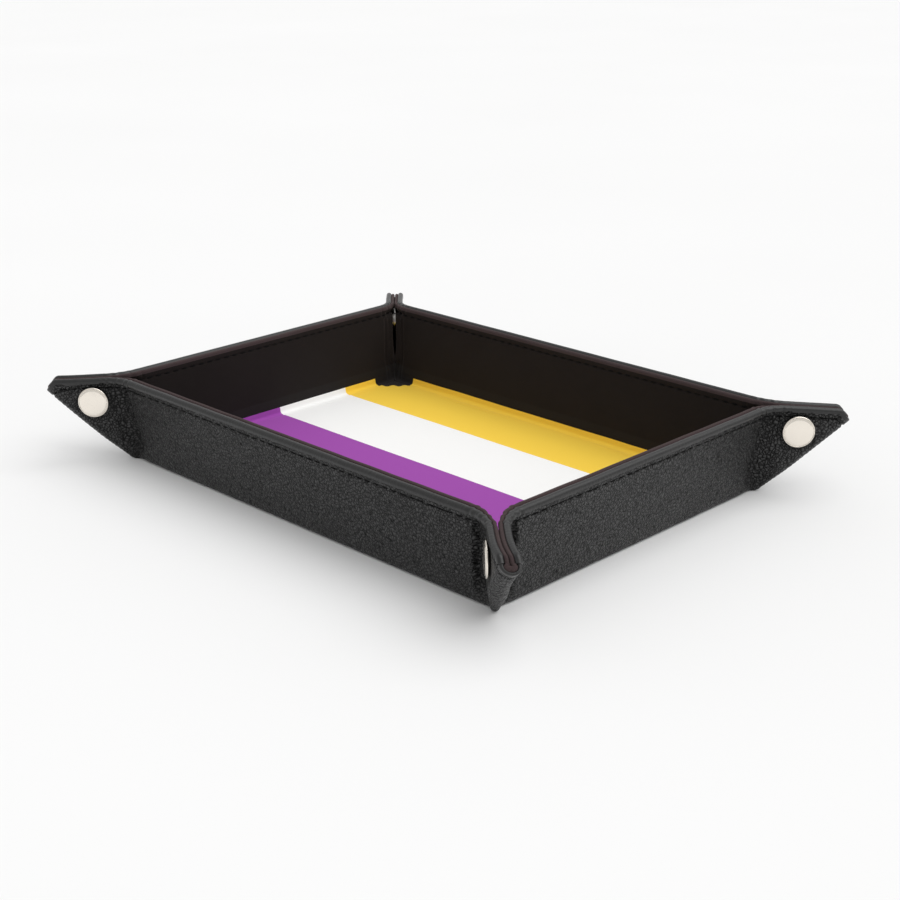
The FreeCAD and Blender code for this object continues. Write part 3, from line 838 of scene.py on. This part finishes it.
def leather_material():
    """Black coated leather with a small pebble grain."""
    n = Nodes("PebbledLeather")
    place = n.flat()
    drift = n.add("ShaderNodeTexNoise", Vector=place, Scale=0.5, Detail=2.0)
    warp = n.add("ShaderNodeVectorMath", {"operation": "MULTIPLY_ADD"})
    n.set(warp.inputs[0], drift.outputs["Color"])
    warp.inputs[1].default_value = (1.3, 1.3, 0)
    n.set(warp.inputs[2], place)
    warped = warp.outputs[0]
    cells = n.add("ShaderNodeTexVoronoi", {"feature": "DISTANCE_TO_EDGE"}, Vector=warped,
                  Scale=0.88)
    pebble = n.math("POWER", n.math("MINIMUM", cells.outputs["Distance"], 0.36), 0.6)
    small = n.add("ShaderNodeTexVoronoi", {"feature": "DISTANCE_TO_EDGE"}, Vector=warped,
                  Scale=2.0)
    creases = n.math("MINIMUM", small.outputs["Distance"], 0.16)
    fine = n.noise(place, 5.0, 4.0)
    height = n.plus(pebble, creases, 0.5)
    height = n.plus(height, fine, 0.12)
    height = n.plus(height, n.noise(place, 0.35, 2.0), 0.9)
    tone = n.noise(place, 0.045, 4.0)
    # Darker in the pebbles' valleys: painted shade of the grain's crevices.
    grain = n.ramp(pebble, ((0.10, (0.0012, 0.0012, 0.0012)), (0.48, (0.0085, 0.0083, 0.0082))))
    colour = n.blend(n.spread(tone, 0.0, 0.4), grain, (0.0060, 0.0058, 0.0057))
    rough = n.spread(n.noise(place, 0.9, 3.0), 0.28, 0.42)
    normal = n.bump(height, 1.0, 0.00090)
    # Less reflective in the pebbles' valleys: painted shade of the grain's crevices.
    shine = n.ramp(pebble, ((0.08, (0.13, 0.13, 0.13)), (0.46, (0.95, 0.95, 0.95))))
    return n.finish(Base_Color=colour, Roughness=rough, Normal=normal,
                    Specular_IOR_Level=shine)


def edge_material():
    """The same leather where it is turned over the rim: stretched smooth and rubbed."""
    n = Nodes("TurnedLeather")
    place = n.flat()
    wear_and_sheen = n.noise(place, 0.8, 4.0)
    colour = n.ramp(wear_and_sheen, ((0.3, (0.0030, 0.0029, 0.0029)), (0.7, (0.0085, 0.0082, 0.0080))))
    normal = n.bump(n.noise(place, 1.1, 3.0), 0.5, 0.0003)
    return n.finish(Base_Color=colour, Roughness=n.spread(wear_and_sheen, 0.26, 0.42), Normal=normal,
                    Specular_IOR_Level=0.55)


def suede(n, place):
    """A short brushed nap: its height, its tone and slow patches in it."""
    nap = n.noise(place, 3.2, 5.0, 0.7)
    patches = n.noise(place, 0.07, 4.0)
    fibre = n.noise(place, 9.0, 2.0)
    return n.plus(nap, fibre, 0.5), nap, patches


def lining_material(name, low, high):
    """Brown-black microfibre between two tones."""
    n = Nodes(name)
    place = n.flat()
    height, nap, patches = suede(n, place)
    dark = n.ramp(nap, ((0.3, low), (0.7, high)))
    colour = n.blend(n.spread(patches, 0.0, 0.5), dark, tuple(c * 1.35 for c in high))
    normal = n.bump(height, 0.6, 0.00025)
    return n.finish(Base_Color=colour, Roughness=0.92, Normal=normal, Sheen_Weight=0.12,
                    Sheen_Roughness=0.5, Sheen_Tint=(0.55, 0.45, 0.42, 1.0),
                    Specular_IOR_Level=0.20)


def print_material(half_length, half_width):
    """Four printed stripes on the dark microfibre, cut short in wavy lines at the corners.
    The halves are the floor's, from its middle to where it turns up the walls."""
    n = Nodes("StripedMicrofibre")
    place = n.flat()
    height, nap, patches = suede(n, place)
    parts = n.add("ShaderNodeSeparateXYZ", Vector=place)
    x, y = parts.outputs[0], parts.outputs[1]
    far_x, far_y = n.math("ABSOLUTE", x), n.math("ABSOLUTE", y)
    half_x, half_y = half_length + PRINT_CLIMB, half_width + PRINT_CLIMB
    inside = n.math("MULTIPLY", n.math("LESS_THAN", far_x, half_x),
                    n.math("LESS_THAN", far_y, half_y))
    wave = n.math("SINE", n.math("MULTIPLY", n.math("SUBTRACT", far_x, far_y), 0.85))
    out = n.plus(n.math("ADD", far_x, far_y), wave, 1.2)
    notch = n.math("GREATER_THAN", out, half_x + half_y - PRINT_CLIP)
    notch = n.math("MULTIPLY", notch, n.math("GREATER_THAN", far_x, half_x - PRINT_NOTCH))
    notch = n.math("MULTIPLY", notch, n.math("GREATER_THAN", far_y, half_y - PRINT_NOTCH))
    inside = n.math("MULTIPLY", inside, n.math("SUBTRACT", 1.0, notch))
    white = n.math("LESS_THAN", y, STRIPE)
    purple = n.math("LESS_THAN", y, 0.0)
    last = n.math("LESS_THAN", y, -STRIPE)
    ink = n.blend(white, YELLOW_INK, WHITE_INK)
    ink = n.blend(purple, ink, PURPLE_INK)
    ink = n.blend(last, ink, BLACK_INK)
    toned = n.add("ShaderNodeVectorMath", {"operation": "SCALE"})
    n.set(toned.inputs[0], ink)
    n.set(toned.inputs["Scale"], n.spread(nap, 0.90, 1.06))
    dark = n.ramp(nap, ((0.3, MICROFIBRE[0]), (0.7, MICROFIBRE[1])))
    dark = n.blend(n.spread(patches, 0.0, 0.5), dark, (0.0135, 0.0097, 0.0086))
    colour = n.blend(inside, dark, toned.outputs[0])
    normal = n.bump(height, 0.22, 0.00015)
    return n.finish(Base_Color=colour, Roughness=0.88, Normal=normal, Sheen_Weight=0.08,
                    Sheen_Roughness=0.5, Specular_IOR_Level=0.25)


def metal_material(name, colour, rough):
    """Nickel plate with faint wear."""
    n = Nodes(name)
    place = n.add("ShaderNodeTexCoord").outputs["Object"]
    cloud = n.noise(place, 420.0, 3.0)
    scratch = n.noise(place, 2600.0, 2.0)
    toned = n.blend(n.spread(cloud, 0.0, 0.5), colour, tuple(c * 0.9 for c in colour))
    return n.finish(Base_Color=toned, Metallic=1.0, Roughness=n.spread(cloud, rough, rough + 0.1),
                    Normal=n.bump(scratch, 0.04, 0.00005))


def thread_material():
    """Twisted black polyester."""
    n = Nodes("TwistedThread")
    place = n.flat()
    twist = n.add("ShaderNodeTexWave", {"bands_direction": "DIAGONAL"}, Vector=place,
                  Scale=1.6, Distortion=0.4)
    strand = twist.outputs["Fac"]
    tone = n.ramp(strand, ((0.2, (0.0006, 0.0006, 0.0006)), (0.8, (0.0030, 0.0029, 0.0028))))
    normal = n.bump(strand, 0.6, 0.0001)
    return n.finish(Base_Color=tone, Roughness=0.7, Normal=normal,
                    Specular_IOR_Level=0.12)


def shaded_board_material():
    """Grey fibre board, in a dark tone that paints the shade of the gap between the rim's lips,
    where it shows.
    """
    n = Nodes("FibreBoardPaintedShade")
    place = n.add("ShaderNodeTexCoord").outputs["Object"]
    fibre = n.noise(place, 900.0, 5.0)
    tone = n.ramp(fibre, ((0.3, (0.030, 0.025, 0.021)), (0.7, (0.065, 0.056, 0.047))))
    return n.finish(Base_Color=tone, Roughness=0.9, Normal=n.bump(fibre, 0.4, 0.0002))


def floor_material():
    """The studio's pale floor, with a faint slow unevenness."""
    n = Nodes("StudioFloor")
    place = n.add("ShaderNodeTexCoord").outputs["Object"]
    soft = n.noise(place, 3.0, 2.0)
    tone = n.ramp(soft, ((0.3, (0.860, 0.860, 0.858)), (0.7, (0.874, 0.874, 0.873))))
    return n.finish(Base_Color=tone, Roughness=0.9, Specular_IOR_Level=0.2)


# ---------------------------------------------------------------- the whole tray

def flat_sheet(name, half_x, half_y, columns, rows, level, facing, material):
    """A sheet over the floor's middle at a height that level gives from x and y."""
    xs = np.linspace(-half_x, half_x, columns)
    ys = np.linspace(-half_y, half_y, rows)
    x, y = np.meshgrid(xs, ys)
    surface = Surface()
    surface.add(np.stack((x, y, level(x, y)), axis=-1), np.stack((x, y), axis=-1) * MM, facing)
    return surface.build(name, material)


def make_floor(print_skin, leather):
    """The printed floor lining and the leather under the floor."""
    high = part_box("floor_lining")[1]
    half_x, half_y = high.x / MM, high.y / MM

    def uneven(x, y):
        return FLOOR - 0.02 + 0.05 * np.sin(x * 0.07 + 1) * np.sin(y * 0.09 + 2)

    floor = flat_sheet("floor_print", half_x - FLOOR_INSET, half_y - FLOOR_INSET, 90, 64,
                       uneven, (0, 0, 1), print_skin)
    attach(floor, "base")
    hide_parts("floor_lining")

    sole = flat_sheet("base_leather", half_x, half_y, 60, 44,
                      lambda x, y: np.zeros_like(x), (0, 0, -1), leather)
    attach(sole, "base")
    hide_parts("base_cover")


def make_corner(half_a, half_b, leather, lining):
    """The small sheets that close the floor's corner: leather below, lining above."""
    corner = half_a.corner
    inward_a, inward_b = -half_b.outward, -half_a.outward
    # Outlines by the distances in from the corner, along the two walls.
    under = ((9, 9), (9, 2.9), (4.7, 1.6), (0.6, 0.6), (1.6, 4.7), (2.9, 9))
    above = ((11, 11), (11, 3.4), (5.2, 2.4), (-0.6, -0.6), (2.4, 5.2), (3.4, 11))
    patches = (
        ("leather", under, 0.15, (0, 0, -1), leather),
        ("lining", above, FLOOR - 0.12, (0, 0, 1), lining),
    )
    for slot, outline, level, facing, material in patches:
        spots = [corner + inward_a * a + inward_b * b for a, b in outline]
        spots = refine(np.array(spots)[:, :2], 1.0)
        middle = spots.mean(0)
        closed = np.concatenate((spots, spots[:1]))
        shares = np.linspace(0, 1, 7)[:, None, None]
        ring = middle + (closed - middle) * shares
        grid = np.concatenate((ring, np.full((*ring.shape[:2], 1), level)), axis=-1)
        surface = Surface()
        surface.add(grid, ring * MM, facing)
        patch = surface.build(f"{half_a.wall}_{half_a.end}_corner_{slot}", material)
        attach(patch, "base")


def make_camera():
    """Looks across the tray's front right corner from a little above it."""
    place = Vector((398.7, -391.5, 218.1)) * MM
    target = Vector((-14.2, 22.0, 0.0)) * MM
    roll = math.radians(-0.36)
    camera = bpy.data.objects.new("Camera", bpy.data.cameras.new("Camera"))
    camera.data.lens = 62.5
    camera.data.sensor_width = 36.0
    camera.data.clip_start = 0.01
    camera.data.clip_end = 50.0
    camera.location = place
    turn = (target - place).to_track_quat("-Z", "Y")
    camera.rotation_mode = "QUATERNION"
    camera.rotation_quaternion = turn @ Quaternion((0, 0, 1), roll)
    bpy.context.scene.collection.objects.link(camera)
    bpy.context.scene.camera = camera


def make_studio():
    """A pale floor, an even white surround and one broad soft light from above."""
    scene = bpy.context.scene
    corners = [(x * STUDIO_HALF, y * STUDIO_HALF, 0)
               for x, y in ((-1, -1), (1, -1), (1, 1), (-1, 1))]
    mesh = bpy.data.meshes.new("studio_floor")
    mesh.from_pydata(corners, [], [(0, 1, 2, 3)])
    floor = new_object("studio_floor", mesh, floor_material())
    world = bpy.data.worlds.new("Studio")
    world.use_nodes = True
    background = world.node_tree.nodes["Background"]
    background.inputs["Color"].default_value = (1, 1, 1, 1)
    background.inputs["Strength"].default_value = SKY_STRENGTH
    scene.world = world
    sun = bpy.data.objects.new("SoftKey", bpy.data.lights.new("SoftKey", "SUN"))
    sun.data.energy = SUN_STRENGTH
    sun.data.angle = SUN_SPREAD
    sun.rotation_euler = SUN_TURN
    scene.collection.objects.link(sun)
    scene.view_settings.view_transform = "Standard"
    scene.view_settings.look = "None"


def give(node, material):
    """Puts a material on a CAD node that stays in view."""
    data = frame["nodes"][node].data
    data.materials.clear()
    data.materials.append(material)


def main():
    leather = leather_material()
    turned = edge_material()
    lining = lining_material("DarkMicrofibre", *MICROFIBRE)
    # The lining's lip gets a lighter copy of the microfibre: painted sheen for the light it
    # catches.
    wear_and_sheen = lining_material("LipMicrofibrePaintedSheen", *LIP_PAINTED_SHEEN)
    thread = thread_material()
    nickel = metal_material("PolishedNickel", (0.90, 0.84, 0.755), 0.14)
    dull_nickel = metal_material("DullNickel", (0.66, 0.64, 0.61), 0.26)
    board = shaded_board_material()
    fold_x = float(JOINTS["right_wall_fold"]["pos_m"][0]) / MM
    fold_y = abs(float(JOINTS["front_wall_fold"]["pos_m"][1])) / MM
    printed = print_material(fold_x - TURN_AT, fold_y - TURN_AT)

    halves = {(wall, end): Half(wall, end, sign)
              for wall, ends in WALL_ENDS.items() for end, sign in ends.items()}
    make_camera()
    make_studio()
    make_floor(printed, leather)
    for wall, ends in WALL_ENDS.items():
        pair = [halves[wall, end] for end in ends]
        make_fold_strip(wall, pair, leather)
        make_foot_strip(wall, pair, printed)
    for (wall, end), half in halves.items():
        name = f"{wall}_{end}"
        outer = bent_sheet(half, f"{name}_leather", leather, turned, lining=False)
        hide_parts(f"{wall}_wall_cover", f"{wall}_wall_{end}_flap_cover")
        inner = bent_sheet(half, f"{name}_lining", lining, wear_and_sheen, lining=True)
        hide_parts(f"{wall}_wall_lining", f"{wall}_wall_{end}_flap_lining")
        stitches = make_stitches(half, f"{name}_outer_stitches", thread, lining=False)
        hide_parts(f"{wall}_wall_stitching")
        inside = make_stitches(half, f"{name}_inner_stitches", thread, lining=True)
        for piece in (outer, inner, stitches, inside):
            bend_at_crease(piece)
        make_cap(half, nickel)
        if half.on_long_wall:
            make_corner(half, halves[end, wall], leather, lining)
    for node in frame["nodes"]:
        if node.endswith("_board"):
            give(node, board)
        elif "snap" in node:
            give(node, dull_nickel)


main()
